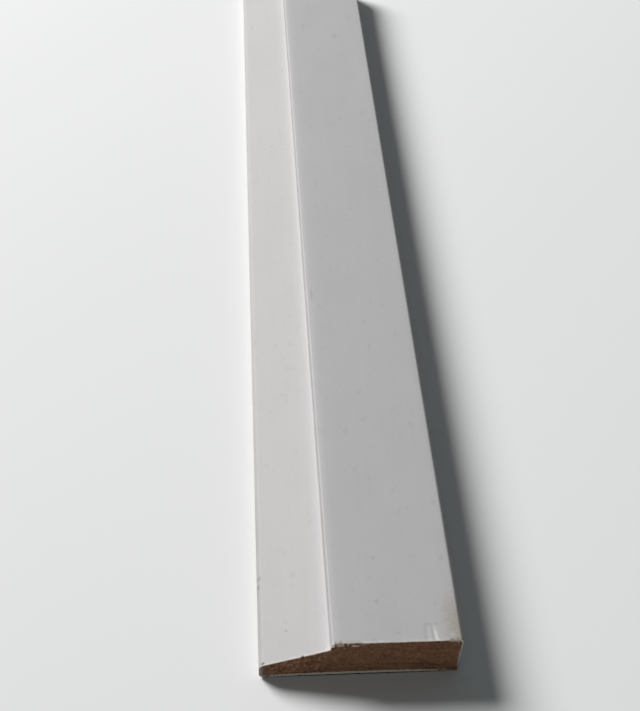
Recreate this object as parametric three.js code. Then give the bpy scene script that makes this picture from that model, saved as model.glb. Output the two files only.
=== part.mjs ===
// A door stop moulding: a short length of primed fibreboard trim, lying on its flat back.
//
// Millimetres, with +Z up. The length runs along +Y and both ends are sawn square. The show face looks
// up, the thin rounded nose is at -X, and the thick square edge that the door closes against is at +X.
// The origin is on the surface that the moulding lies on, under the middle of its length and width.

import * as THREE from 'three';

// Driving dimensions
const LENGTH = 250;
const WIDTH = 35;
const THICKNESS = 9.5;
const NOSE_HEIGHT = 3.4; // where the bevel, carried on, would meet the upright of the nose
const BEVEL_WIDTH = 12.25; // from the nose to the crease at the foot of the step
const STEP_HEIGHT = 1.9; // from the crease up to the flat
const STEP_LEAN = 0.3; // how far the step leans back as it rises

// Radii of the rounded corners
const NOSE_TOP_RADIUS = 1.4;
const NOSE_BACK_RADIUS = 0.9;
const CREASE_RADIUS = 0.2;
const STEP_ARRIS_RADIUS = 0.35;
const EDGE_ARRIS_RADIUS = 0.5;
const BACK_ARRIS_RADIUS = 0.4;

const ARC_DIVISIONS = 5; // three.js cuts an arc into twice this many chords

// The corners of the section, anticlockwise from the back of the nose, with x across and y up.
function sectionCorners() {
  const nose = -WIDTH / 2;
  const crease = nose + BEVEL_WIDTH;
  const edge = WIDTH / 2;
  return [
    { point: new THREE.Vector2(nose, 0), radius: NOSE_BACK_RADIUS },
    { point: new THREE.Vector2(edge, 0), radius: BACK_ARRIS_RADIUS },
    { point: new THREE.Vector2(edge, THICKNESS), radius: EDGE_ARRIS_RADIUS },
    { point: new THREE.Vector2(crease + STEP_LEAN, THICKNESS), radius: STEP_ARRIS_RADIUS },
    { point: new THREE.Vector2(crease, THICKNESS - STEP_HEIGHT), radius: CREASE_RADIUS },
    { point: new THREE.Vector2(nose, NOSE_HEIGHT), radius: NOSE_TOP_RADIUS },
  ];
}

// Adds the arc that rounds one corner. It touches both straight sides of the corner, so its centre is on
// the line that halves the corner's angle. The shape joins it to the arc before by a straight line.
function addRoundedCorner(shape, before, corner, after) {
  const toBefore = before.clone().sub(corner.point).normalize();
  const toAfter = after.clone().sub(corner.point).normalize();
  const halfAngle = Math.acos(toBefore.dot(toAfter)) / 2;
  const tangentLength = corner.radius / Math.tan(halfAngle);
  const start = corner.point.clone().addScaledVector(toBefore, tangentLength);
  const end = corner.point.clone().addScaledVector(toAfter, tangentLength);
  const towardsCentre = toBefore.clone().add(toAfter).normalize();
  const centre = corner.point.clone().addScaledVector(towardsCentre, corner.radius / Math.sin(halfAngle));
  const startAngle = start.sub(centre).angle();
  const endAngle = end.sub(centre).angle();
  const clockwise = toBefore.cross(toAfter) > 0;
  shape.absarc(centre.x, centre.y, corner.radius, startAngle, endAngle, clockwise);
}

function sectionShape() {
  const shape = new THREE.Shape();
  const corners = sectionCorners();
  corners.forEach((corner, index) => {
    const before = corners.at(index - 1).point;
    const after = corners[(index + 1) % corners.length].point;
    addRoundedCorner(shape, before, corner, after);
  });
  shape.closePath();
  return shape;
}

function doorStopMoulding() {
  const geometry = new THREE.ExtrudeGeometry(sectionShape(), {
    depth: LENGTH,
    bevelEnabled: false,
    curveSegments: ARC_DIVISIONS,
  });
  const primer = new THREE.MeshStandardMaterial({ color: 0xcbc8c8, roughness: 0.5, metalness: 0 });
  const moulding = new THREE.Mesh(geometry, primer);
  moulding.name = 'door_stop_moulding';
  // The section is drawn standing up, so its length is turned from +Z to -Y and then centred
  moulding.rotation.x = Math.PI / 2;
  moulding.position.y = LENGTH / 2;
  return moulding;
}

const part = new THREE.Group();
part.add(doorStopMoulding());

export default part;
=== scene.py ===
"""The looks of a length of primed fibreboard door stop moulding.

The moulding lies on its flat back. Its length runs along +Y, its thin rounded nose is at -X and its thick
square edge at +X. The end nearer the camera is at -Y. Lengths are in metres, in the frame of the model.
"""

import logging
import math
from dataclasses import dataclass
from enum import Enum
from typing import Any

import bpy
import numpy as np
from mathutils import Matrix, Vector


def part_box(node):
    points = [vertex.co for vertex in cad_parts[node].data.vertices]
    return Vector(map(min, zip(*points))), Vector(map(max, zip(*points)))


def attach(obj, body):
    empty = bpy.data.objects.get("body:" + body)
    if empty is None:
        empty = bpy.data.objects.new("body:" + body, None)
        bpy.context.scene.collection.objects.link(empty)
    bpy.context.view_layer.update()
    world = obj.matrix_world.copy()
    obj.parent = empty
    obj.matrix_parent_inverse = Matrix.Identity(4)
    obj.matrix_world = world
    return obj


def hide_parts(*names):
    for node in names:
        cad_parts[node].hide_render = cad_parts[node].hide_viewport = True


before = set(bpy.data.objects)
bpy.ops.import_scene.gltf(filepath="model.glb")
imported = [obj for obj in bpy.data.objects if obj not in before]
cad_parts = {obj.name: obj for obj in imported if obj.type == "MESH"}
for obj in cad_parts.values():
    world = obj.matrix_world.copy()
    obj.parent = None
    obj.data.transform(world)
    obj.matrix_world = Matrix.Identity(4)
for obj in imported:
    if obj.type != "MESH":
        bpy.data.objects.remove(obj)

LOG = logging.getLogger("door_stop")
MM = 0.001
NODE = "door_stop_moulding"
PHOTO_WIDTH = 640
PHOTO_HEIGHT = 711
ACROSS = (1.0, 0.0, 0.0)

# For the marks, in millimetres: the flat's height over the back, and how far a mark reaches into a surface.
FLAT = 9.5
THROUGH_PAINT = 1.6
INTO_END = 3.0

Array = np.ndarray
Socket = bpy.types.NodeSocket
Pair = tuple[float, float]
Triple = tuple[float, float, float]
Colour = Triple


class Surface(Enum):
    """The stretches of the section's outline, in the order in which the outline runs."""

    BACK = 0
    EDGE = 1
    SHOW = 2
    NOSE = 3


def smoothstep(value: Array, low: float, high: float) -> Array:
    """A smooth rise from 0 at low to 1 at high: 3t^2 - 2t^3, with t the clipped share of the way.

    Args:
        value: The values to shape.
        low: Where the rise starts. It may lie above high, and then the curve falls.
        high: Where the rise ends.

    Returns:
        The shaped values, from 0 to 1.
    """
    share = np.clip((value - low) / (high - low), 0.0, 1.0)
    return share * share * (3.0 - 2.0 * share)


def fading(distance: Array, size: float, reach: float) -> Array:
    """A size that dies away as an exponential of the distance, and stays whole where that is below 0."""
    return size * np.exp(-np.clip(distance, 0.0, None) / reach)


@dataclass(frozen=True)
class Grading:
    """The spacing of a run of places: a fine step at both ends, growing towards a coarse one between them."""

    fine: float
    growth: float
    coarse: float
    samples: int = 8001

    def places(self, start: float, stop: float) -> Array:
        """Places from start to stop, close together at both ends and wider apart between them.

        The wanted step at a place is fine plus growth times its distance to the nearer end, and at most
        coarse. The places are equal shares of the running sum of one over that step.

        Args:
            start: The first place.
            stop: The last place.

        Returns:
            The places in rising order, with both ends among them.
        """
        dense = np.linspace(start, stop, self.samples)
        to_end = np.minimum(dense - start, stop - dense)
        wanted = np.minimum(self.fine + self.growth * to_end, self.coarse)
        running = np.concatenate([[0.0], np.cumsum(np.diff(dense) / wanted[:-1])])
        count = max(2, int(round(running[-1])) + 1)
        return np.interp(np.linspace(0.0, running[-1], count), running, dense)


def value_noise(across: Array, along: Array, cell: Pair, seed: int) -> Array:
    """Smooth noise from -1 to 1: a lattice of random numbers, blended inside each cell by smoothstep.

    Args:
        across: The first coordinate of each point.
        along: The second coordinate of each point.
        cell: The lattice's cell, in the units of the two coordinates.
        seed: The seed of the lattice's numbers.

    Returns:
        One value for each point.
    """
    size = 64
    lattice = np.random.default_rng(seed).uniform(-1.0, 1.0, (size, size))
    u, v = across / cell[0], along / cell[1]
    column, row = np.floor(u).astype(int), np.floor(v).astype(int)
    blend_u, blend_v = smoothstep(u - column, 0.0, 1.0), smoothstep(v - row, 0.0, 1.0)
    left, right = column % size, (column + 1) % size
    below, above = row % size, (row + 1) % size
    low = lattice[left, below] * (1.0 - blend_u) + lattice[right, below] * blend_u
    high = lattice[left, above] * (1.0 - blend_u) + lattice[right, above] * blend_u
    return low * (1.0 - blend_v) + high * blend_v


@dataclass(frozen=True)
class Corner:
    """A corner of the section: its point and the radius that rounds it."""

    across: float
    height: float
    radius: float


@dataclass(frozen=True)
class Section:
    """The moulding's section: x runs across from the nose, and z up from the back."""

    width: float
    thickness: float
    nose_height: float = 3.4 * MM
    bevel_width: float = 12.25 * MM
    step_height: float = 1.9 * MM
    step_lean: float = 0.3 * MM
    nose_top_radius: float = 1.4 * MM
    nose_back_radius: float = 0.9 * MM
    crease_radius: float = 0.2 * MM
    step_arris_radius: float = 0.35 * MM
    edge_arris_radius: float = 0.5 * MM
    back_arris_radius: float = 0.4 * MM
    cove_rise: float = 0.10 * MM
    cove_reach: float = 1.0 * MM
    step_sag: float = 0.13 * MM
    step_sag_reach: float = 0.6 * MM
    edge_sag: float = 0.08 * MM
    edge_sag_reach: float = 0.5 * MM
    arc_points: int = 9
    line_spacing: Grading = Grading(0.08 * MM, 0.055, 0.23 * MM)
    row_spacing: Grading = Grading(0.010, 0.09, 0.05)

    def corners(self) -> list[Corner]:
        """The corners of the show side.

        Returns:
            The corners, from the nose to the thick edge.
        """
        crease_height = self.thickness - self.step_height
        return [
            Corner(0.0, self.nose_height, self.nose_top_radius),
            Corner(self.bevel_width, crease_height, self.crease_radius),
            Corner(self.bevel_width + self.step_lean, self.thickness, self.step_arris_radius),
            Corner(self.width, self.thickness, self.edge_arris_radius),
        ]

    def rounded(self, before: Array, corner: Corner, after: Array) -> Array:
        """The arc that rounds a corner and touches both of its straight sides.

        The centre is on the line that halves the corner's angle, at the radius over the sine of half the
        angle. The arc turns evenly between the two points where it touches the sides.

        Args:
            before: A point on the side that comes in.
            corner: The corner.
            after: A point on the side that goes out.

        Returns:
            The arc's points, one to a row.
        """
        point = np.array([corner.across, corner.height])
        to_before = (before - point) / np.linalg.norm(before - point)
        to_after = (after - point) / np.linalg.norm(after - point)
        half_angle = math.acos(float(to_before @ to_after)) / 2.0
        middle = (to_before + to_after) / np.linalg.norm(to_before + to_after)
        centre = point + middle * corner.radius / math.sin(half_angle)
        start = point + to_before * corner.radius / math.tan(half_angle) - centre
        end = point + to_after * corner.radius / math.tan(half_angle) - centre
        first = math.atan2(start[1], start[0])
        turn = math.remainder(math.atan2(end[1], end[0]) - first, 2.0 * math.pi)
        angles = first + turn * np.linspace(0.0, 1.0, self.arc_points)
        return centre + corner.radius * np.stack([np.cos(angles), np.sin(angles)], axis=1)

    def show_side(self) -> Array:
        """The show side's points from nose to thick edge: an arc at each corner, and graded lines between.

        Returns:
            The points (x, z), one to a row, with x never falling.
        """
        corners = self.corners()
        points = [np.array([c.across, c.height]) for c in corners]
        points = [points[0] - [0.0, 1.0], *points, points[-1] - [0.0, 1.0]]
        arcs = [self.rounded(points[i], c, points[i + 2]) for i, c in enumerate(corners)]
        chain = [arcs[0]]
        for last, arc in zip(arcs[:-1], arcs[1:]):
            start, end = last[-1], arc[0]
            length = float(np.linalg.norm(end - start))
            shares = self.line_spacing.places(0.0, length)[1:-1] / length
            chain.append(start + shares[:, None] * (end - start))
            chain.append(arc)
        points = np.concatenate(chain)
        points[:, 1] += self.softening(points[:, 0])
        return points

    def softening(self, across: Array) -> Array:
        """What the cutter and the paint leave of the sharp drawing, as a change of height.

        The bevel curves up towards the crease, and the flat sags towards the step and towards the thick
        edge. Each part dies away from its corner as an exponential of the distance. Up the step the first
        part passes into the second in proportion to the way across.

        Args:
            across: The places across the section.

        Returns:
            The change of height at each place.
        """
        top = self.bevel_width + self.step_lean
        cove = fading(self.bevel_width - across, self.cove_rise, self.cove_reach)
        sag = fading(across - top, self.step_sag, self.step_sag_reach)
        up_step = np.clip((across - self.bevel_width) / self.step_lean, 0.0, 1.0)
        edge = fading(self.width - across, self.edge_sag, self.edge_sag_reach)
        return cove * (1.0 - up_step) - sag * up_step - edge

    def back_height(self, across: Array) -> Array:
        """The back's height over the surface below: 0, and a quarter circle up at each end.

        Args:
            across: The places across the section.

        Returns:
            The height at each place.
        """
        nose, edge = self.nose_back_radius, self.back_arris_radius
        nose_part = np.clip(nose - across, 0.0, nose)
        edge_part = np.clip(across - (self.width - edge), 0.0, edge)
        nose_rise = nose - np.sqrt(nose**2 - nose_part**2)
        edge_rise = edge - np.sqrt(edge**2 - edge_part**2)
        return nose_rise + edge_rise

    def grid(self) -> Array:
        """The section's face as a grid: upright columns under each point of the show side.

        The rows' shares run from 0 at the back to 1 at the show side, and are closest together at both.

        Returns:
            An array of columns by rows by (x, z).
        """
        top = self.show_side()
        bottom = self.back_height(top[:, 0])
        shares = self.row_spacing.places(0.0, 1.0)
        heights = bottom[:, None] + shares[None, :] * (top[:, 1] - bottom)[:, None]
        return np.stack([np.broadcast_to(top[:, :1], heights.shape), heights], axis=2)


def ring(columns: int, rows: int) -> tuple[Array, Array]:
    """The points on the rim of a grid, anticlockwise from its first column and row.

    Args:
        columns: The number of steps between the grid's columns.
        rows: The number of steps between its rows.

    Returns:
        The column and the row of each point.
    """
    across, up = np.arange(columns), np.arange(rows)
    first_column, first_row = np.zeros(rows, dtype=int), np.zeros(columns, dtype=int)
    ring_columns = np.concatenate([across, np.full(rows, columns), across[::-1] + 1, first_column])
    ring_rows = np.concatenate([first_row, up, np.full(columns, rows), up[::-1] + 1])
    return ring_columns, ring_rows


@dataclass(frozen=True)
class Outline:
    """The section's outline, anticlockwise from the back of the nose."""

    points: Array
    normals: Array
    surfaces: Array

    @classmethod
    def of(cls, grid: Array) -> "Outline":
        """The outline of a section's grid.

        The normal at a point is the chord from the point before to the point after, turned by a right
        angle.

        Args:
            grid: The section's grid.

        Returns:
            The outline.
        """
        columns, rows = grid.shape[0] - 1, grid.shape[1] - 1
        points = grid[ring(columns, rows)]
        chords = np.roll(points, -1, axis=0) - np.roll(points, 1, axis=0)
        normals = np.stack([chords[:, 1], -chords[:, 0]], axis=1)
        normals = normals / np.linalg.norm(normals, axis=1, keepdims=True)
        surfaces = np.repeat([surface.value for surface in Surface], [columns, rows, columns, rows])
        return cls(points, normals, surfaces)

    def on(self, surface: Surface) -> Array:
        """1 at each point that belongs to a surface, and 0 at the others."""
        return (self.surfaces == surface.value).astype(float)


@dataclass(frozen=True)
class Coat:
    """How the coat's tone varies across the section: how much darker it is on each part, and how much paler
    it is painted beside the step as light.

    A span is where a smooth rise starts and where it ends. The step's own spans are shares of its height,
    and the upright part's are shares of the nose's.
    """

    section: Section
    # Darkening shares: on the step's arris and on the nose they are painted shade.
    step_darkening: float = 0.7
    arris_shade: float = 0.31
    nose_shade: float = 0.33
    nose_shade_by_cut: float = 0.24
    thin_back: float = 0.45
    # Painted light beside the step: how far and how strongly the coat is made paler.
    bevel_step_light: float = 0.6
    bevel_reach: float = 0.9 * MM
    flat_step_light: float = 0.22
    flat_reach: float = 0.6 * MM
    flat_tail: float = 0.16
    tail_reach: float = 4.0 * MM
    beside_step: Pair = (0.35 * MM, 0.2 * MM)
    step_foot: Pair = (-0.02, 0.10)
    step_head: Pair = (0.95, 0.55)
    arris_start: Pair = (-0.2 * MM, 0.0)
    arris_end: Pair = (0.6 * MM, 0.1 * MM)
    nose_top: Pair = (0.95 * MM, 0.3 * MM)
    nose_upright: Pair = (0.3, 0.7)
    towards_cut: Pair = (70.0 * MM, 15.0 * MM)
    bevel_start: Pair = (-0.1 * MM, 0.0)
    flat_start: Pair = (0.1 * MM, 0.4 * MM)

    def darker(self, outline: Outline, along: Array) -> Array:
        """How much darker the coat is: most on the step, some on its arris, the nose and the back.

        On the back the coat is a thinner one. On the step's arris and on the nose the darkening is painted
        shade that dims their highlights, and on the nose it grows towards the near end. On the step the coat
        is just darker.

        Args:
            outline: The section's outline.
            along: The distances from the near cut.

        Returns:
            A row for each distance, with a share from 0, the plain coat, to 1 for each point of the outline.
        """
        section = self.section
        across, height = outline.points[:, 0], outline.points[:, 1]
        up_step = (height - (section.thickness - section.step_height)) / section.step_height
        top = section.bevel_width + section.step_lean
        by_step = smoothstep(np.abs(across - 0.5 * (section.bevel_width + top)), *self.beside_step)
        on_step = by_step * smoothstep(up_step, *self.step_foot) * smoothstep(up_step, *self.step_head)
        on_arris = smoothstep(across - top, *self.arris_start) * smoothstep(across - top, *self.arris_end)
        on_nose = smoothstep(across, *self.nose_top)
        upright = smoothstep(height / section.nose_height, *self.nose_upright)
        # Painted shade on the nose, growing towards the near cut.
        nose = self.nose_shade + self.nose_shade_by_cut * smoothstep(along, *self.towards_cut)[:, None]
        # Painted shade on the step's arris dims its highlight.
        by_the_step = np.maximum(self.step_darkening * on_step, self.arris_shade * on_arris)
        on_show = outline.on(Surface.SHOW) * np.maximum(by_the_step, on_nose * nose)
        on_back = self.thin_back * outline.on(Surface.BACK)
        return on_show + outline.on(Surface.NOSE) * upright * nose + on_back

    def painted_step_light(self, outline: Outline) -> Array:
        """How much paler the coat is painted on both sides of the step, as painted light from the step and
        its
        arris: exponentials of the distance from it.

        Args:
            outline: The section's outline.

        Returns:
            A share from 0 to 1 for each point of the outline.
        """
        before = self.section.bevel_width - outline.points[:, 0]
        past = outline.points[:, 0] - self.section.bevel_width - self.section.step_lean
        on_bevel = fading(before, self.bevel_step_light, self.bevel_reach) * smoothstep(before, *self.bevel_start)
        near_step = fading(past, self.flat_step_light, self.flat_reach)
        over_flat = fading(past, self.flat_tail, self.tail_reach)
        on_flat = (near_step + over_flat) * smoothstep(past, *self.flat_start)
        return (on_bevel + on_flat) * outline.on(Surface.SHOW)


@dataclass(frozen=True)
class Fray:
    """A stretch of the cut's top edge where the arris is torn, with fuzz on the sawn face below it."""

    across: float
    half_width: float
    depth: float
    fuzz: float = 0.0


@dataclass(frozen=True)
class Burr:
    """A small curl of paint that stands out from the sawn face."""

    across: float
    height: float
    half_width: float
    half_height: float
    rise: float


@dataclass(frozen=True)
class Dent:
    """A shallow V-shaped dent in the flat that runs in from the cut and stops short.

    Along its reach it loses the share `narrowing` of its width and `shallowing` of its depth. At the share
    `ends_from` of the reach it starts to end.
    """

    across: float
    left_width: float
    right_width: float
    reach: float
    depth: float
    narrowing: float = 0.4
    shallowing: float = 0.5
    ends_from: float = 0.86


@dataclass(frozen=True)
class SawnEnd:
    """One sawn end: its worn arris, the streaks that the saw leaves, its frays, burrs and dents.

    The cells are how wide and how high the patches of its noises are. The cores are the shares of a fray,
    of the fuzz's reach and of a burr over which each is at its full size.
    """

    seed: int
    frays: tuple[Fray, ...] = ()
    burrs: tuple[Burr, ...] = ()
    dents: tuple[Dent, ...] = ()
    arris_wear: float = 0.03 * MM
    arris_reach: float = 0.2 * MM
    unevenness: float = 0.4
    widening: float = 2.2
    falloff_power: float = 1.2
    streak_depth: float = 0.03 * MM
    pit_depth: float = 0.05 * MM
    fuzz_reach: float = 1.3 * MM
    fray_core: float = 0.6
    fuzz_core: float = 0.4
    burr_core: float = 0.2
    pit_span: Pair = (0.15, 0.8)
    calm_rim: float = 0.22 * MM
    lip_height: float = 0.035 * MM
    lip_reach: float = 0.5 * MM
    coarse_cell: Pair = (0.9 * MM, 0.9 * MM)
    fine_cell: Pair = (0.24 * MM, 0.24 * MM)
    streak_cell: Pair = (4.0 * MM, 0.3 * MM)
    long_streak_cell: Pair = (9.0 * MM, 0.55 * MM)
    pit_cell: Pair = (0.45 * MM, 0.3 * MM)
    tuft_cell: Pair = (0.34 * MM, 0.3 * MM)

    def frayed(self, across: Array, depths: list[float]) -> Array:
        """The largest of the frays' depths at each place, each one under a smooth hump.

        Args:
            across: The places across the section.
            depths: One depth for each fray.

        Returns:
            The depth at each place, 0 away from the frays.
        """
        largest = np.zeros_like(across)
        for fray, depth in zip(self.frays, depths):
            core = self.fray_core * fray.half_width
            hump = smoothstep(np.abs(across - fray.across), fray.half_width, core)
            largest = np.maximum(largest, depth * hump)
        return largest

    def wear(self, across: Array, height: Array, on_show: Array) -> Array:
        """How far the arris is worn away at each place: a little everywhere, and more at the frays.

        Args:
            across: The places across the section.
            height: The places' heights.
            on_show: 1 on the show side and 0 elsewhere, where there are no frays.

        Returns:
            The wear at each place, as a length.
        """
        coarse = value_noise(across, height, self.coarse_cell, self.seed)
        fine = value_noise(across, height, self.fine_cell, self.seed + 1)
        everywhere = self.arris_wear * (1.0 + self.unevenness * coarse + self.unevenness * fine)
        torn = self.frayed(across, [fray.depth for fray in self.frays])
        rough = 0.9 + 0.2 * coarse + 0.15 * fine
        return np.maximum(everywhere, torn * rough * on_show)

    def falloff(self, inset: Array, worn: Array) -> Array:
        """The share of the wear that is left at a distance from the arris.

        The reach of the wear is wider where the wear is deeper.

        Args:
            inset: The distance from the arris.
            worn: The wear at the arris nearby.

        Returns:
            1 at the arris and 0 beyond the reach of the wear.
        """
        reach = self.arris_reach + self.widening * worn
        return np.clip(1.0 - inset / reach, 0.0, 1.0) ** self.falloff_power

    def dented(self, across: Array, from_end: Array) -> Array:
        """The depth of the dents at each place of the flat.

        A dent is a V across. Along the length it gets narrower and shallower, and then ends smoothly.

        Args:
            across: The places across the section.
            from_end: Their distances from the cut.

        Returns:
            The depth below the flat, as a length.
        """
        depth = np.zeros_like(across)
        for dent in self.dents:
            along = np.clip(from_end / dent.reach, 0.0, 1.0)
            offset = across - dent.across
            width = np.where(offset < 0.0, dent.left_width, dent.right_width) * (1.0 - dent.narrowing * along)
            flank = np.clip(1.0 - np.abs(offset) / width, 0.0, 1.0)
            shallower = (1.0 - dent.shallowing * along) * smoothstep(along, 1.0, dent.ends_from)
            depth = np.maximum(depth, dent.depth * flank * shallower)
        return depth

    def relief(self, across: Array, height: Array, inset: Array, on_show: Array) -> Array:
        """How far the sawn face stands proud of the cut.

        Flat streaks and the pits between fibres lie below the cut. Fuzz and burrs stand out of it near
        the top edge. Everything fades towards the outline.

        Args:
            across: The places across the section.
            height: The places' heights.
            inset: Their distances from the outline.
            on_show: 1 where the show side is the nearest part of the outline, else 0.

        Returns:
            The height of the relief, as a length.
        """
        streaks = value_noise(across, height, self.streak_cell, self.seed + 2)
        long_streaks = value_noise(across, height, self.long_streak_cell, self.seed + 3)
        pits = value_noise(across, height, self.pit_cell, self.seed + 4)
        tufts = value_noise(across, height, self.tuft_cell, self.seed + 5)
        proud = self.streak_depth * (0.5 * streaks + 0.5 * long_streaks - 0.6)
        proud = proud - self.pit_depth * smoothstep(pits, *self.pit_span)
        fuzz = self.frayed(across, [fray.fuzz for fray in self.frays]) * on_show
        by_arris = smoothstep(inset, self.fuzz_reach, self.fuzz_core * self.fuzz_reach)
        proud = proud + fuzz * by_arris * (0.45 + 0.55 * tufts)
        for burr in self.burrs:
            aside = (across - burr.across) / burr.half_width
            above = (height - burr.height) / burr.half_height
            proud = proud + burr.rise * smoothstep(np.hypot(aside, above), 1.0, self.burr_core)
        return proud * smoothstep(inset, 0.0, self.calm_rim)


@dataclass(frozen=True)
class Mark:
    """A small mark on a surface: an ellipse with a ragged rim, in one colour.

    The centre is in millimetres across from the nose, along from the near cut and up from the back. The
    mark fades from full strength at the share `core` of its radii to nothing at its rim. Noise moves that
    rim by up to the share `ragged` of its radii. The mark is turned about the upright by `turn` degrees.
    """

    centre: Triple
    radii: Triple
    colour: Colour
    strength: float
    core: float = 0.5
    ragged: float = 0.3
    turn: float = 0.0


@dataclass(frozen=True)
class Grain:
    """The grain of a noise: its cells for each metre across, along and up, and its octaves of detail."""

    across: float
    along: float
    up: float
    detail: float


@dataclass(frozen=True)
class Graph:
    """A short hand for one material's nodes."""

    material: bpy.types.Material

    @classmethod
    def new(cls, name: str) -> "Graph":
        """A new material with no nodes in it.

        Args:
            name: The material's name.

        Returns:
            The graph of its nodes.
        """
        material = bpy.data.materials.new(name)
        material.use_nodes = True
        material.node_tree.nodes.clear()
        return cls(material)

    def node(self, kind: str, inputs: dict[Any, Any], **settings: Any) -> bpy.types.Node:
        """Adds a node, sets it up and feeds its inputs.

        Args:
            kind: The node's type.
            inputs: For each input, by name or place, the value or the socket that feeds it.
            **settings: The node's own properties.

        Returns:
            The node.
        """
        node = self.material.node_tree.nodes.new(kind)
        for name, value in settings.items():
            setattr(node, name, value)
        for name, value in inputs.items():
            if isinstance(value, Socket):
                self.material.node_tree.links.new(value, node.inputs[name])
            else:
                node.inputs[name].default_value = value
        return node

    def coordinates(self, scale: Triple) -> Socket:
        """Object coordinates times a scale along each axis."""
        source = self.node("ShaderNodeTexCoord", {}).outputs["Object"]
        return self.node("ShaderNodeMapping", {"Vector": source, "Scale": scale}).outputs[0]

    def along(self, direction: Triple) -> Socket:
        """The place along a direction in millimetres, 0 at the origin."""
        inputs = {0: self.coordinates((1.0 / MM, 1.0 / MM, 1.0 / MM)), 1: direction}
        return self.node("ShaderNodeVectorMath", inputs, operation="DOT_PRODUCT").outputs["Value"]

    def around(self, centre: Vector, radii: Vector, turn: float) -> Socket:
        """Object coordinates about a centre, turned about the upright and counted in radii.

        Args:
            centre: The point that becomes the zero.
            radii: The lengths that become 1 along each axis.
            turn: The turn in degrees.

        Returns:
            The coordinates.
        """
        source = self.node("ShaderNodeTexCoord", {}).outputs["Object"]
        turned = (0.0, 0.0, math.radians(turn))
        inputs = {"Vector": source, "Location": centre, "Rotation": turned, "Scale": radii}
        return self.node("ShaderNodeMapping", inputs, vector_type="TEXTURE").outputs[0]

    def attribute(self, name: str) -> Socket:
        """The value of one of the mesh's own attributes."""
        return self.node("ShaderNodeAttribute", {}, attribute_name=name).outputs["Fac"]

    def noise(self, grain: Grain) -> Socket:
        """Fractal noise, from about 0 to 1 around 0.5.

        Args:
            grain: The noise's grain.

        Returns:
            The noise.
        """
        place = self.coordinates((grain.across, grain.along, grain.up))
        inputs = {"Vector": place, "Scale": 1.0, "Detail": grain.detail, "Roughness": 0.55}
        return self.node("ShaderNodeTexNoise", inputs).outputs[0]

    def varied(self, noise: Socket, between: Pair) -> Socket:
        """A value that noise moves smoothly between two others, as it goes from 0.3 to 0.7."""
        return self.rise(noise, 0.3, 0.7, *between)

    def rise(self, value: Any, low: float, high: float, start: float = 0.0, end: float = 1.0) -> Socket:
        """A smooth change from start to end as a value goes from low to high."""
        inputs = {"Value": value, "From Min": low, "From Max": high, "To Min": start, "To Max": end}
        return self.node("ShaderNodeMapRange", inputs, interpolation_type="SMOOTHSTEP").outputs[0]

    def maths(self, operation: str, first: Any, second: Any) -> Socket:
        """The sum, product or other operation on two values."""
        return self.node("ShaderNodeMath", {0: first, 1: second}, operation=operation).outputs[0]

    def mix(self, share: Any, first: Any, second: Any, blend: str = "MIX") -> Socket:
        """One colour laid over another.

        Args:
            share: How much of the second shows.
            first: The colour below.
            second: The colour on top.
            blend: How the second is laid on, in Blender's words.

        Returns:
            The mixed colour.
        """
        first, second = (c if isinstance(c, Socket) else (*c, 1.0) for c in (first, second))
        node = self.node("ShaderNodeMix", {0: share, 6: first, 7: second}, data_type="RGBA", blend_type=blend)
        return node.outputs[2]

    def layered(self, colour: Any, *layers: tuple[Socket, Colour]) -> Socket:
        """A colour with others laid over it in turn, each as far as its own share goes.

        Args:
            colour: The colour below.
            *layers: The share and the colour of each layer.

        Returns:
            The mixed colour.
        """
        for share, over in layers:
            colour = self.mix(share, colour, over)
        return colour

    def bump(self, height: Any, distance: float, normal: Any = None) -> Socket:
        """The normal tilted by a height map, of which 1 stands for a distance.

        Args:
            height: The height map.
            distance: The height that 1 stands for.
            normal: A normal that other bumps have tilted already, if there is one.

        Returns:
            The tilted normal.
        """
        inputs = {"Height": height, "Distance": distance}
        if normal is not None:
            inputs["Normal"] = normal
        return self.node("ShaderNodeBump", inputs).outputs[0]

    def marked(self, colour: Socket, marks: tuple[Mark, ...], corner: Vector) -> Socket:
        """A colour with marks laid over it, one after the other.

        A mark's share at a point is a smooth fall of the distance from its centre, counted in its radii,
        with noise added to the distance.

        Args:
            colour: The colour below.
            marks: The marks.
            corner: The corner that the marks' centres are measured from, in metres.

        Returns:
            The marked colour.
        """
        ragged = self.noise(Grain(3000.0, 3000.0, 3000.0, 2.0))
        for mark in marks:
            here = self.around(corner + MM * Vector(mark.centre), MM * Vector(mark.radii), mark.turn)
            away = self.node("ShaderNodeVectorMath", {0: here}, operation="LENGTH").outputs["Value"]
            rim = self.rise(ragged, 0.25, 0.75, -mark.ragged, mark.ragged)
            share = self.rise(self.maths("ADD", away, rim), mark.core, 1.0, mark.strength, 0.0)
            colour = self.mix(share, colour, mark.colour)
        return colour

    def surface(self, colour: Any, roughness: Any, normal: Any, specular: float) -> bpy.types.Material:
        """Ends the graph in a plain glossy-over-matte shader.

        Args:
            colour: The base colour.
            roughness: The roughness.
            normal: The bumped normal.
            specular: The strength of the gloss.

        Returns:
            The finished material.
        """
        inputs = {"Base Color": colour, "Roughness": roughness, "Normal": normal}
        shader = self.node("ShaderNodeBsdfPrincipled", {**inputs, "Specular IOR Level": specular})
        self.node("ShaderNodeOutputMaterial", {"Surface": shader.outputs[0]})
        return self.material


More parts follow.
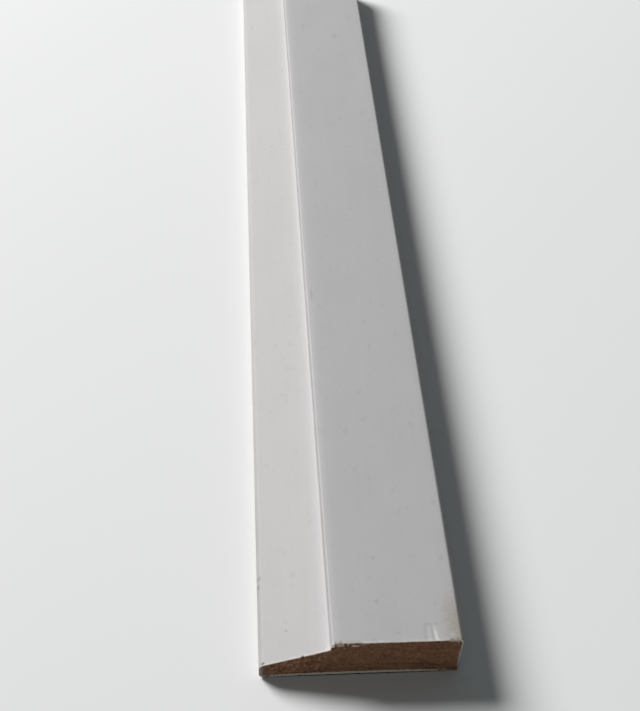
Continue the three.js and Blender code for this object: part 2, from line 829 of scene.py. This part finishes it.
@dataclass(frozen=True)
class Fibreboard:
    """The finish of sawn fibreboard: brown, in fine flat streaks, speckled by single fibres.

    Along `upwards` it gets darker over `painted_shade_span`, in millimetres from the back: painted shade
    that lies darker up the end and towards the nose, and painted light on its lower part. Its flecks and
    pits are strongest towards the nose and fade over `coarse`, in millimetres from the middle of the
    width. Where the arris is torn, its fibres are dusted with primer. A span is where in a noise a colour
    starts to show and where it shows fully.
    """

    pale: Colour = (0.40, 0.208, 0.112)
    dark: Colour = (0.175, 0.085, 0.043)
    fibre: Colour = (0.42, 0.27, 0.16)
    fleck: Colour = (0.42, 0.235, 0.145)
    pit: Colour = (0.085, 0.035, 0.018)
    torn: Colour = (0.62, 0.56, 0.51)
    roughness: float = 0.9
    specular: float = 0.2
    upwards: Triple = (-0.12, 0.0, 1.0)
    painted_shade_span: Pair = (-0.5, 8.5)
    coarse: Pair = (-10.0, -4.0)
    coarse_shares: Pair = (0.9, 0.4)
    painted_shade_share: float = 0.8
    patch_share: float = 0.4
    fibre_share: float = 0.4
    layer_span: Pair = (0.25, 0.7)
    patch_span: Pair = (0.35, 0.75)
    fibre_span: Pair = (0.55, 0.8)
    fleck_span: Pair = (0.48, 0.3)
    pit_span: Pair = (0.5, 0.72)
    layers: Grain = Grain(260.0, 260.0, 3000.0, 4.0)
    patches: Grain = Grain(420.0, 420.0, 900.0, 3.0)
    fibres: Grain = Grain(3500.0, 3500.0, 9000.0, 2.0)
    flecks: Grain = Grain(2300.0, 2300.0, 1900.0, 1.0)
    sawn_layers: Grain = Grain(300.0, 300.0, 5000.0, 3.0)
    sawn_fibres: Grain = Grain(5000.0, 5000.0, 9000.0, 3.0)
    layer_depth: float = 0.04 * MM
    fibre_depth: float = 0.03 * MM

    def colour(self, graph: Graph) -> Socket:
        """The colour of bare board.

        Args:
            graph: The nodes of the material.

        Returns:
            The colour.
        """
        streaked = graph.rise(graph.noise(self.layers), *self.layer_span)
        # Painted shade: darker up the end and towards the nose, lighter low down.
        painted_shade_upwards = graph.rise(graph.along(self.upwards), *self.painted_shade_span, 0.0, self.painted_shade_share)
        patchy = graph.rise(graph.noise(self.patches), *self.patch_span, 0.0, self.patch_share)
        fibrous = graph.rise(graph.noise(self.fibres), *self.fibre_span, 0.0, self.fibre_share)
        flecks = graph.noise(self.flecks)
        coarse = graph.rise(graph.along(ACROSS), *self.coarse, *self.coarse_shares)
        flecked = graph.maths("MULTIPLY", graph.rise(flecks, *self.fleck_span), coarse)
        pitted = graph.maths("MULTIPLY", graph.rise(flecks, *self.pit_span), coarse)
        shaded = graph.layered(self.dark, (streaked, self.pale), (painted_shade_upwards, self.dark))
        fibred = graph.layered(shaded, (patchy, self.dark), (fibrous, self.fibre))
        return graph.layered(fibred, (flecked, self.fleck), (pitted, self.pit))

    def relief(self, graph: Graph) -> Socket:
        """The normal of bare board: torn fibres over the saw's streaks.

        Args:
            graph: The nodes of the material.

        Returns:
            The bumped normal.
        """
        streaked = graph.bump(graph.noise(self.sawn_layers), self.layer_depth)
        return graph.bump(graph.noise(self.sawn_fibres), self.fibre_depth, streaked)


@dataclass(frozen=True)
class Primer:
    """The factory primer: a pale grey coat with a low sheen and faint mottling, painted warmer on the bevel
    as the warm light that falls on it.

    The bevel ends over `bevel_edge`, in millimetres from the middle of the moulding's width. The noises
    move the coat's brightness over `mottling` and `streaking` and the share of darker coat over
    `patchiness`. Towards a cut the coat takes up to `by_cut_share` of the cut's colour over `by_cut`, in
    millimetres from the cut, and the streaks move that place over `by_cut_wander`.
    """

    coat: Colour = (0.468, 0.459, 0.460)
    warm_lit_bevel_coat: Colour = (0.468, 0.446, 0.449)
    bevel_edge: Pair = (-5.3, -5.1)
    # Painted light: the paler coat beside the step.
    painted_step_light: Colour = (0.60, 0.592, 0.594)
    darker: Colour = (0.255, 0.238, 0.228)
    cut: Colour = (0.73, 0.665, 0.585)
    roughness: float = 0.65
    cut_roughness: float = 0.7
    specular: float = 0.3
    film: float = 0.2
    speckle: float = 0.14
    speck_span: Pair = (0.62, 0.8)
    mottling: Pair = (0.985, 1.012)
    streaking: Pair = (0.993, 1.006)
    patchiness: Pair = (0.7, 1.0)
    by_cut: Pair = (-0.5, -0.1)
    by_cut_share: float = 0.25
    by_cut_wander: Pair = (-0.3, 0.2)
    mottle: Grain = Grain(90.0, 60.0, 90.0, 3.0)
    streaks: Grain = Grain(900.0, 30.0, 900.0, 3.0)
    specks: Grain = Grain(620.0, 380.0, 620.0, 1.0)
    patches: Grain = Grain(700.0, 90.0, 700.0, 3.0)
    roller_marks: Grain = Grain(1400.0, 25.0, 1400.0, 2.0)
    peel: Grain = Grain(1500.0, 1500.0, 1500.0, 3.0)
    mark_depth: float = 0.005 * MM
    peel_depth: float = 0.010 * MM

    def colour(self, graph: Graph) -> Socket:
        """The coat's colour: mottled, specked, streaked along and paler by the cuts, with painted light
        beside the step, and darker on the step, on its arris and the nose, where part is painted shade.

        Args:
            graph: The nodes of the material.

        Returns:
            The colour.
        """
        streaks = graph.noise(self.streaks)
        cloudy = graph.varied(graph.noise(self.mottle), self.mottling)
        tone = graph.maths("MULTIPLY", cloudy, graph.varied(streaks, self.streaking))
        grey = graph.node("ShaderNodeCombineColor", {0: tone, 1: tone, 2: tone}).outputs[0]
        # The bevel's warmer coat is painted warm light.
        on_flat = graph.rise(graph.along(ACROSS), *self.bevel_edge)
        colour = graph.mix(1.0, graph.mix(on_flat, self.warm_lit_bevel_coat, self.coat), grey, "MULTIPLY")
        specked = graph.rise(graph.noise(self.specks), *self.speck_span, 0.0, self.speckle)
        # Painted light beside the step, read from the mesh.
        painted_step_light = graph.attribute("painted_step_light_coat")
        from_cut = graph.maths("ADD", graph.attribute("inset"), graph.varied(streaks, self.by_cut_wander))
        by_cut = graph.rise(from_cut, *self.by_cut, 0.0, self.by_cut_share)
        patchy = graph.varied(graph.noise(self.patches), self.patchiness)
        # Darker coat: painted shade on the step's arris and the nose, and a thinner coat on the back.
        darker = graph.maths("MULTIPLY", graph.attribute("darker_coat"), patchy)
        colour = graph.layered(colour, (specked, self.darker), (painted_step_light, self.painted_step_light))
        return graph.layered(colour, (by_cut, self.cut), (darker, self.darker))

    def relief(self, graph: Graph) -> Socket:
        """The coat's normal: fine orange peel over marks that run along the length.

        Args:
            graph: The nodes of the material.

        Returns:
            The bumped normal.
        """
        marked = graph.bump(graph.noise(self.roller_marks), self.mark_depth)
        return graph.bump(graph.noise(self.peel), self.peel_depth, marked)


@dataclass(frozen=True)
class Finish:
    """The two finishes together: paint over board on the faces, and board rimmed with paint on the ends.

    The spans are in millimetres. Over `lifted` of lost arris the paint turns pale, and over `torn` fibres
    take its place. Noise moves the loss over `torn_wander`. Over `film_edge` from the inner side of the
    film of paint round an end, board takes its place. Noise varies the film's width by up to the share
    `film_wander`.
    """

    primer: Primer
    board: Fibreboard
    corner: Vector
    face_marks: tuple[Mark, ...]
    end_marks: tuple[Mark, ...]
    lifted: Pair = (0.005, 0.05)
    torn: Pair = (0.07, 0.11)
    torn_wander: Pair = (-0.015, 0.015)
    film_wander: float = 0.3
    film_edge: Pair = (-0.03, 0.03)
    torn_grain: Grain = Grain(3200.0, 3200.0, 3200.0, 3.0)
    film_grain: Grain = Grain(2600.0, 2600.0, 2600.0, 3.0)

    def lost(self, graph: Graph) -> Socket:
        """How much of the arris is lost, in millimetres, with noise added."""
        ragged = graph.varied(graph.noise(self.torn_grain), self.torn_wander)
        return graph.maths("ADD", graph.attribute("lost"), ragged)

    def painted(self) -> bpy.types.Material:
        """The painted faces, with torn fibres where the arris is lost and pale lifted paint beside them.

        Returns:
            The material.
        """
        graph = Graph.new("factory_primer")
        lost = self.lost(graph)
        torn = graph.rise(lost, *self.torn)
        paint = graph.mix(graph.rise(lost, *self.lifted), self.primer.colour(graph), self.primer.cut)
        paint = graph.marked(paint, self.face_marks, self.corner)
        colour = graph.mix(torn, paint, self.board.torn)
        roughness = graph.rise(torn, 0.0, 1.0, self.primer.roughness, self.board.roughness)
        return graph.surface(colour, roughness, self.primer.relief(graph), self.primer.specular)

    def sawn(self) -> bpy.types.Material:
        """The sawn ends, with the cut edge of the paint round their outline.

        Returns:
            The material.
        """
        graph = Graph.new("sawn_fibreboard")
        widths = (1.0 - self.film_wander) * self.primer.film, (1.0 + self.film_wander) * self.primer.film
        film = graph.varied(graph.noise(self.film_grain), widths)
        core = graph.rise(graph.maths("SUBTRACT", graph.attribute("inset"), film), *self.film_edge)
        torn = graph.rise(self.lost(graph), *self.torn)
        colour = graph.mix(core, self.primer.cut, self.board.colour(graph))
        colour = graph.marked(graph.mix(torn, colour, self.board.torn), self.end_marks, self.corner)
        roughness = graph.rise(core, 0.0, 1.0, self.primer.cut_roughness, self.board.roughness)
        return graph.surface(colour, roughness, self.board.relief(graph), self.board.specular)


@dataclass(frozen=True)
class Points:
    """Some of the mesh's points, and what the finishes need to know of each.

    `inset` and `lost` are in millimetres. On the sides `inset` is less than 0 and counts the distance from
    the nearer cut. On the ends it counts the distance from the outline. `lost` is how much of the show
    side's arris is worn away.
    """

    places: Array
    inset: Array
    lost: Array


@dataclass(frozen=True)
class Moulding:
    """The moulding itself: its section carried along its length between two sawn ends."""

    section: Section
    near_y: float
    far_y: float
    left_x: float
    near: SawnEnd
    far: SawnEnd
    waviness: float = 0.012 * MM
    wave_cell: Pair = (11.0 * MM, 34.0 * MM)
    wave_seed: int = 5
    clear_of_step: float = 2.0 * MM
    spacing: Grading = Grading(0.13 * MM, 0.06, 6.0 * MM)

    def ends(self) -> tuple[tuple[SawnEnd, float, float], ...]:
        """Each sawn end with its place along the length and its direction into the moulding."""
        return (self.near, self.near_y, 1.0), (self.far, self.far_y, -1.0)

    def side_points(self, outline: Outline, stations: Array) -> Points:
        """The points of the sides: the outline at each station, moved by the paint's relief and the wear.

        Each point moves along its normal by the waviness of the paint, the lip at the cuts and the dents,
        which keep to the flat clear of the step.
        Near an end the wear of the arris moves it both ways: inwards along the normal and along the length.

        Args:
            outline: The section's outline.
            stations: The places along the length.

        Returns:
            The points, station by station.
        """
        shape = (len(stations), len(outline.points))
        x = np.broadcast_to(outline.points[:, 0], shape)
        y = np.broadcast_to(stations[:, None], shape)
        z = np.broadcast_to(outline.points[:, 1], shape)
        steps = np.linalg.norm(np.diff(outline.points, axis=0), axis=1)
        around = np.broadcast_to(np.concatenate([[0.0], np.cumsum(steps)]), shape)
        on_show = outline.on(Surface.SHOW)
        on_flat = on_show * (outline.points[:, 0] > self.section.bevel_width + self.clear_of_step)

        lift = self.waviness * (value_noise(around, y, self.wave_cell, self.wave_seed) - 1.0)
        along, lost = np.zeros(shape), np.zeros(shape)
        for end, end_y, inward in self.ends():
            from_end = (y - end_y) * inward
            worn = end.wear(x, z, on_show)
            worn = worn * end.falloff(from_end, worn)
            lift = lift + end.lip_height * smoothstep(from_end, end.lip_reach, 0.0) * on_show
            lift = lift - end.dented(x, from_end) * on_flat
            along = along + inward * worn
            lost = lost + worn * on_show
        sink = lost - lift
        move_x, move_z = -outline.normals[:, 0] * sink, -outline.normals[:, 1] * sink
        places = np.stack([x + move_x + self.left_x, y + along, np.maximum(z + move_z, 0.0)], axis=2)
        inset = -np.minimum(y - self.near_y, self.far_y - y)
        return Points(places.reshape(-1, 3), inset.reshape(-1) / MM, lost.reshape(-1) / MM)

    def end_points(
        self, grid: Array, outline: Outline, end: SawnEnd, end_y: float, inward: float
    ) -> Points:
        """The points inside one sawn end, moved by the wear of the arris and by the saw's relief.

        Each point takes the normal and the surface of the outline's nearest point. Its distance to that
        point sets how much of the wear reaches it.

        Args:
            grid: The section's grid.
            outline: The section's outline.
            end: The sawn end.
            end_y: The end's place along the length.
            inward: The direction along the length into the moulding, 1 or -1.

        Returns:
            The points.
        """
        flat = grid[1:-1, 1:-1].reshape(-1, 2)
        away = np.linalg.norm(flat[:, None, :] - outline.points[None, :, :], axis=2)
        nearest = away.argmin(axis=1)
        inset = away[np.arange(len(flat)), nearest]
        on_show = outline.on(Surface.SHOW)[nearest]
        rim = outline.points[nearest]
        worn = end.wear(rim[:, 0], rim[:, 1], on_show)
        worn = worn * end.falloff(inset, worn)
        side = outline.normals[nearest] * worn[:, None]
        sunk = worn - end.relief(flat[:, 0], flat[:, 1], inset, on_show)
        x = flat[:, 0] - side[:, 0] + self.left_x
        y = end_y + inward * sunk
        places = np.stack([x, y, flat[:, 1] - side[:, 1]], axis=1)
        return Points(places, inset / MM, worn * on_show / MM)

    def mesh(self) -> bpy.types.Mesh:
        """The closed mesh: rings of the outline along the length, and a grid over each end.

        The ends' grids share the first and last ring, and the same wear moves their rims.

        Returns:
            The mesh, with its attributes and its two material slots' indices.
        """
        grid = self.section.grid()
        outline = Outline.of(grid)
        count = len(outline.points)
        columns, rows = grid.shape[0] - 1, grid.shape[1] - 1
        stations = self.spacing.places(self.near_y, self.far_y)

        parts = [self.side_points(outline, stations)]
        faces = [self.side_faces(len(stations), count)]
        start = len(parts[0].places)
        for (end, end_y, inward), first in zip(self.ends(), (0, start - count)):
            indices = np.zeros(grid.shape[:2], dtype=int)
            indices[ring(columns, rows)] = first + np.arange(count)
            indices[1:-1, 1:-1] = start + np.arange((columns - 1) * (rows - 1)).reshape(columns - 1, rows - 1)
            parts.append(self.end_points(grid, outline, end, end_y, inward))
            faces.append(self.end_faces(indices, inward))
            start += len(parts[-1].places)

        mesh = bpy.data.meshes.new(NODE)
        places = np.concatenate([part.places for part in parts])
        mesh.from_pydata(places.tolist(), [], np.concatenate(faces).tolist())
        materials = np.repeat([0, 1, 1], [len(part) for part in faces])
        mesh.polygons.foreach_set("material_index", materials)
        mesh.polygons.foreach_set("use_smooth", np.ones(len(mesh.polygons), dtype=bool))
        self.set_layers(mesh, parts, outline, stations)
        self.sharpen_rims(mesh, count, len(stations))
        mesh.update()
        return mesh

    def set_layers(
        self, mesh: bpy.types.Mesh, parts: list[Points], outline: Outline, stations: Array
    ) -> None:
        """Gives the mesh the attributes that its finishes read.

        Args:
            mesh: The mesh.
            parts: The points of the sides and of the two ends.
            outline: The section's outline.
            stations: The places along the length.
        """
        shape = (len(stations), len(outline.points))
        ends = np.zeros(len(mesh.vertices) - shape[0] * shape[1])
        coat = Coat(self.section)
        # Darker coat, partly painted shade on the arris and the nose.
        darker = coat.darker(outline, stations - self.near_y)
        # Painted light beside the step.
        painted_step_light = np.broadcast_to(coat.painted_step_light(outline), shape)
        layers = {
            "inset": np.concatenate([part.inset for part in parts]),
            "lost": np.concatenate([part.lost for part in parts]),
            "darker_coat": np.concatenate([darker.reshape(-1), ends]),
            "painted_step_light_coat": np.concatenate([painted_step_light.reshape(-1), ends]),
        }
        for name, values in layers.items():
            mesh.attributes.new(name, "FLOAT", "POINT").data.foreach_set("value", values)

    def side_faces(self, stations: int, count: int) -> Array:
        """The quads between one ring and the next, facing outwards.

        Args:
            stations: The number of rings.
            count: The number of points in a ring.

        Returns:
            The quads' four vertices, one quad to a row.
        """
        station, point = np.meshgrid(np.arange(stations - 1), np.arange(count), indexing="ij")
        following = (point + 1) % count
        near, far = station * count, (station + 1) * count
        quads = np.stack([near + point, far + point, far + following, near + following], axis=2)
        return quads.reshape(-1, 4)

    def end_faces(self, indices: Array, inward: float) -> Array:
        """The quads over one end, facing outwards.

        Args:
            indices: The vertex at each place of the grid.
            inward: The direction along the length into the moulding, 1 or -1.

        Returns:
            The quads' four vertices, one quad to a row.
        """
        here, right = indices[:-1, :-1], indices[1:, :-1]
        over, across = indices[:-1, 1:], indices[1:, 1:]
        quads = np.stack([here, right, across, over], axis=2).reshape(-1, 4)
        return quads if inward > 0.0 else quads[:, ::-1]

    def sharpen_rims(self, mesh: bpy.types.Mesh, count: int, stations: int) -> None:
        """Marks the two arrises of the cuts sharp, so that the ends shade apart from the sides.

        Args:
            mesh: The mesh.
            count: The number of points in a ring.
            stations: The number of rings.
        """
        edges = np.zeros(2 * len(mesh.edges), dtype=np.int32)
        mesh.edges.foreach_get("vertices", edges)
        edges = edges.reshape(-1, 2)
        last = (stations - 1) * count
        near = (edges < count).all(axis=1)
        far = ((edges >= last) & (edges < last + count)).all(axis=1)
        mesh.attributes.new("sharp_edge", "BOOLEAN", "EDGE").data.foreach_set("value", near | far)

    def build(self, finish: Finish) -> bpy.types.Object:
        """Makes the piece, dresses it and puts it in the place of the model's solid.

        Args:
            finish: The finishes of its faces and ends.

        Returns:
            The piece.
        """
        mesh = self.mesh()
        mesh.materials.append(finish.painted())
        mesh.materials.append(finish.sawn())
        piece = bpy.data.objects.new("primed_door_stop_moulding", mesh)
        bpy.context.scene.collection.objects.link(piece)
        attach(piece, "root")
        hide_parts(NODE)
        return piece


@dataclass(frozen=True)
class Studio:
    """A plain pale floor, one large soft light from behind on the left, and a weak even fill."""

    floor_size: float = 16.0
    floor_colour: Colour = (0.835, 0.835, 0.83)
    floor_shade: Colour = (0.7, 0.7, 0.7)
    floor_clouds: Pair = (0.0, 0.02)
    floor_grain: Grain = Grain(20.0, 20.0, 20.0, 3.0)
    floor_relief: float = 0.01 * MM
    floor_roughness: float = 0.8
    floor_specular: float = 0.2
    key_direction: Triple = (-1.08, 1.0, 1.0)
    key_distance: float = 2.6
    key_size: float = 1.3
    key_power: float = 103.0
    fill_strength: float = 0.11
    fill_colour: Colour = (0.90, 0.98, 1.0)

    def floor(self) -> bpy.types.Object:
        """A flat square floor under the moulding, in a pale matte finish.

        Returns:
            The floor.
        """
        half = self.floor_size / 2.0
        mesh = bpy.data.meshes.new("floor")
        corners = [(-half, -half, 0.0), (half, -half, 0.0), (half, half, 0.0), (-half, half, 0.0)]
        mesh.from_pydata(corners, [], [(0, 1, 2, 3)])
        graph = Graph.new("pale_floor")
        cloud = graph.noise(self.floor_grain)
        colour = graph.mix(graph.varied(cloud, self.floor_clouds), self.floor_colour, self.floor_shade)
        relief = graph.bump(cloud, self.floor_relief)
        mesh.materials.append(graph.surface(colour, self.floor_roughness, relief, self.floor_specular))
        floor = bpy.data.objects.new("floor", mesh)
        bpy.context.scene.collection.objects.link(floor)
        return floor

    def key(self) -> bpy.types.Object:
        """The large soft light, turned to the moulding.

        Returns:
            The light.
        """
        light = bpy.data.lights.new("key", "AREA")
        light.shape = "DISK"
        light.size = self.key_size
        light.energy = self.key_power
        lamp = bpy.data.objects.new("key", light)
        direction = Vector(self.key_direction).normalized()
        turn = direction.to_track_quat("Z", "Y").to_matrix().to_4x4()
        lamp.matrix_world = Matrix.Translation(direction * self.key_distance) @ turn
        lamp.visible_camera = False
        bpy.context.scene.collection.objects.link(lamp)
        return lamp

    def fill(self) -> bpy.types.World:
        """The even pale surroundings.

        Returns:
            The scene's world.
        """
        world = bpy.data.worlds.new("studio")
        world.use_nodes = True
        background = world.node_tree.nodes["Background"]
        background.inputs["Color"].default_value = (*self.fill_colour, 1.0)
        background.inputs["Strength"].default_value = self.fill_strength
        bpy.context.scene.world = world
        return world


@dataclass(frozen=True)
class PhotoCamera:
    """The photograph's camera, placed from the near end's back corner under the nose.

    Its angles turn it about the upright, then down, then about its own line of sight.
    """

    focal_pixels: float = 1225.6
    offset: Triple = (-1.0 * MM, -117.0 * MM, 187.2 * MM)
    yaw: float = -4.69
    pitch: float = -43.25
    roll: float = -2.13
    sensor: float = 36.0
    nearest: float = 0.01
    farthest: float = 50.0

    def place(self, corner: Vector) -> bpy.types.Object:
        """Makes the camera and sets it as the scene's.

        Args:
            corner: The near end's corner under the nose.

        Returns:
            The camera.
        """
        data = bpy.data.cameras.new("camera")
        data.sensor_width = self.sensor
        data.lens = self.focal_pixels * self.sensor / max(PHOTO_WIDTH, PHOTO_HEIGHT)
        data.clip_start = self.nearest
        data.clip_end = self.farthest
        camera = bpy.data.objects.new("camera", data)
        yaw = Matrix.Rotation(math.radians(self.yaw), 4, "Z")
        tilt = Matrix.Rotation(math.radians(90.0 + self.pitch), 4, "X")
        roll = Matrix.Rotation(math.radians(-self.roll), 4, "Z")
        camera.matrix_world = Matrix.Translation(corner + Vector(self.offset)) @ yaw @ tilt @ roll
        bpy.context.scene.collection.objects.link(camera)
        bpy.context.scene.camera = camera
        return camera


def near_end() -> SawnEnd:
    """The near end, with the frays, burrs and dents that show on it.

    Returns:
        The end.
    """
    return SawnEnd(
        seed=11,
        frays=(
            Fray(across=13.9 * MM, half_width=1.1 * MM, depth=0.22 * MM, fuzz=0.08 * MM),
            Fray(across=16.3 * MM, half_width=2.3 * MM, depth=0.16 * MM, fuzz=0.08 * MM),
            Fray(across=33.4 * MM, half_width=1.4 * MM, depth=0.11 * MM, fuzz=0.06 * MM),
        ),
        burrs=(
            Burr(12.75 * MM, 8.9 * MM, half_width=0.3 * MM, half_height=0.7 * MM, rise=0.22 * MM),
            Burr(16.3 * MM, 8.75 * MM, half_width=0.45 * MM, half_height=0.3 * MM, rise=0.16 * MM),
            Burr(34.2 * MM, 9.1 * MM, half_width=0.3 * MM, half_height=0.25 * MM, rise=0.15 * MM),
        ),
        dents=(
            Dent(28.9 * MM, left_width=0.75 * MM, right_width=0.7 * MM, reach=3.6 * MM, depth=0.065 * MM),
            Dent(29.95 * MM, left_width=0.4 * MM, right_width=0.9 * MM, reach=3.5 * MM, depth=0.06 * MM),
        ),
    )


def far_end() -> SawnEnd:
    """The far end, with one fray of its own."""
    fray = Fray(across=20.0 * MM, half_width=2.5 * MM, depth=0.12 * MM, fuzz=0.08 * MM)
    return SawnEnd(seed=41, frays=(fray,))


def face_mark(place: Triple, radii: Pair, colour: Colour, strength: float, **look: float) -> Mark:
    """A mark in the paint, from its place, its radii across and along, and its look."""
    return Mark(place, (*radii, THROUGH_PAINT), colour, strength, **look)


def end_mark(place: Pair, radii: Pair, colour: Colour, strength: float, **look: float) -> Mark:
    """A mark on the near sawn end, from its place, its radii across and up, and its look."""
    return Mark((place[0], 0.0, place[1]), (radii[0], INTO_END, radii[1]), colour, strength, **look)


def face_marks() -> tuple[Mark, ...]:
    """The specks, the stain, the worn corner and a pale streak by the dents in the paint, as the photograph
    shows them. The streak is partly scraped paint and partly a painted highlight.

    Returns:
        The marks, in the order in which they are laid.
    """
    soot = (0.06, 0.055, 0.05)
    specks = (
        ((4.95, 5.97, 5.1), (0.3, 0.38), 0.29),
        ((21.1, 18.0, FLAT), (0.35, 0.5), 0.13),
        ((20.8, 8.5, FLAT), (0.5, 0.5), 0.12),
        ((0.35, 18.4, 3.3), (0.6, 0.45), 0.3),
        ((0.2, 16.6, 3.1), (0.5, 0.6), 0.35),
        ((17.4, 213.3, FLAT), (0.7, 1.2), 0.1),
        ((26.3, 207.2, FLAT), (1.1, 1.4), 0.11),
        ((33.3, 17.5, FLAT), (0.7, 0.9), 0.09),
        ((33.5, 30.5, FLAT), (0.7, 1.0), 0.08),
        ((23.9, 1.9, FLAT), (0.6, 0.5), 0.09),
        ((13.6, 91.4, FLAT), (0.4, 2.6), 0.14),
        ((29.2, 3.5, FLAT), (0.55, 0.35), 0.12),
        ((30.7, 3.45, FLAT), (0.35, 0.3), 0.14),
        ((19.6, 0.7, FLAT), (0.6, 0.3), 0.12),
        ((7.54, 0.1, 6.0), (0.25, 0.3), 0.85),
        ((0.75, 0.4, 3.6), (0.3, 0.3), 0.8),
    )
    # A pale streak by the dents: partly scraped paint, partly a painted highlight on the dent's lit flank.
    pale_streak_and_highlight = face_mark(
        (30.42, 1.0, FLAT), (0.42, 2.5), (0.66, 0.655, 0.64), 0.78, core=0.25, ragged=0.25, turn=8.0
    )
    stain = face_mark((34.8, 3.0, FLAT), (4.2, 9.5), (0.35, 0.315, 0.265), 0.85, core=0.05, ragged=0.15)
    worn_corner = (
        face_mark((33.3, 1.2, FLAT), (0.5, 0.35), (0.55, 0.52, 0.47), 0.5),
        face_mark((33.0, 0.2, FLAT), (0.6, 0.3), (0.12, 0.07, 0.06), 0.5),
        face_mark((34.7, 0.2, FLAT), (1.1, 0.6), (0.16, 0.13, 0.11), 0.45, core=0.3),
    )
    lifted = face_mark((11.9, 0.7, 7.5), (0.5, 1.0), (0.68, 0.62, 0.57), 0.6, core=0.2)
    dark = (face_mark(place, radii, soot, strength) for place, radii, strength in specks)
    return (*dark, pale_streak_and_highlight, stain, *worn_corner, lifted)


def end_marks() -> tuple[Mark, ...]:
    """The smeared primer, the fuzz and the dark holes on the near sawn end, with painted light on the fuzz, a
    burr and the foot, and a painted contact shadow along the foot.

    Returns:
        The marks, in the order in which they are laid.
    """
    # Dark holes, and the painted contact shadow along the foot.
    hole_and_shadow = (0.03, 0.018, 0.012)
    # Pale fuzz: partly its own colour, partly painted light on fibres that face the light.
    fuzz = (0.70, 0.61, 0.53)
    by_step = (
        end_mark((13.9, 9.35), (1.15, 0.9), fuzz, 0.95, core=0.4),
        # Near-white on the burr: a painted highlight over its pale paint.
        end_mark((12.75, 9.15), (0.3, 0.75), (0.86, 0.81, 0.79), 1.0, core=0.6),
        end_mark((16.4, 8.75), (0.8, 0.35), fuzz, 0.8),
        end_mark((15.2, 9.2), (0.25, 0.4), fuzz, 0.7),
        end_mark((18.0, 9.3), (1.1, 0.8), fuzz, 0.3, core=0.1),
        end_mark((14.85, 9.3), (0.28, 0.3), hole_and_shadow, 0.85),
        end_mark((15.6, 8.95), (0.25, 0.35), hole_and_shadow, 0.8),
        end_mark((16.8, 9.25), (0.6, 0.22), hole_and_shadow, 0.6),
        end_mark((13.0, 8.4), (0.35, 0.3), hole_and_shadow, 0.7),
        end_mark((12.5, 8.05), (0.25, 0.4), hole_and_shadow, 0.7),
    )
    by_thick_edge = (
        end_mark((31.2, 9.0), (3.6, 0.4), (0.13, 0.055, 0.042), 0.6, core=0.2),
        end_mark((33.5, 9.35), (1.6, 0.35), (0.80, 0.66, 0.60), 0.75),
        end_mark((34.3, 9.2), (0.4, 0.3), fuzz, 0.7),
        end_mark((34.6, 8.2), (0.35, 0.8), hole_and_shadow, 0.35),
        end_mark((35.0, 3.9), (0.55, 4.2), (0.46, 0.42, 0.42), 1.0, core=0.6, ragged=0.2),
    )
    by_nose = (
        end_mark((0.6, 1.6), (1.8, 2.2), (0.10, 0.066, 0.06), 0.7, core=0.3),
        end_mark((0.0, 1.5), (0.95, 2.4), (0.42, 0.37, 0.35), 0.9, core=0.25, ragged=0.2),
    )
    # Along the foot: a pale line of paint, brightened as painted light, and under it a painted contact
    # shadow.
    foot_light_and_contact_shadow = (
        end_mark((16.8, 0.5), (17.2, 0.5), (0.95, 0.84, 0.71), 1.0, core=0.75, ragged=0.15),
        end_mark((17.5, 0.0), (18.5, 0.36), hole_and_shadow, 0.95, core=0.65, ragged=0.1),
    )
    on_bevel_rim = end_mark((7.54, 5.75), (0.3, 0.4), hole_and_shadow, 0.9)
    return (*by_step, *by_thick_edge, *by_nose, *foot_light_and_contact_shadow, on_bevel_rim)


def main() -> None:
    """Builds the studio, the camera and the moulding."""
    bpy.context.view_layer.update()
    low, high = (Vector(corner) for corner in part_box(NODE))
    bpy.context.scene.view_settings.view_transform = "Standard"

    camera = PhotoCamera().place(low)
    LOG.info("camera %s", camera.name)
    studio = Studio()
    for thing in (studio.floor(), studio.key(), studio.fill()):
        LOG.info("studio %s", thing.name)

    moulding = Moulding(
        section=Section(width=high.x - low.x, thickness=high.z - low.z),
        near_y=low.y,
        far_y=high.y,
        left_x=low.x,
        near=near_end(),
        far=far_end(),
    )
    piece = moulding.build(Finish(Primer(), Fibreboard(), low, face_marks(), end_marks()))
    LOG.info("piece %s: %d faces", piece.name, len(piece.data.polygons))


if __name__ == "__main__":
    logging.basicConfig(level=logging.INFO, format="%(name)s: %(message)s")
    main()
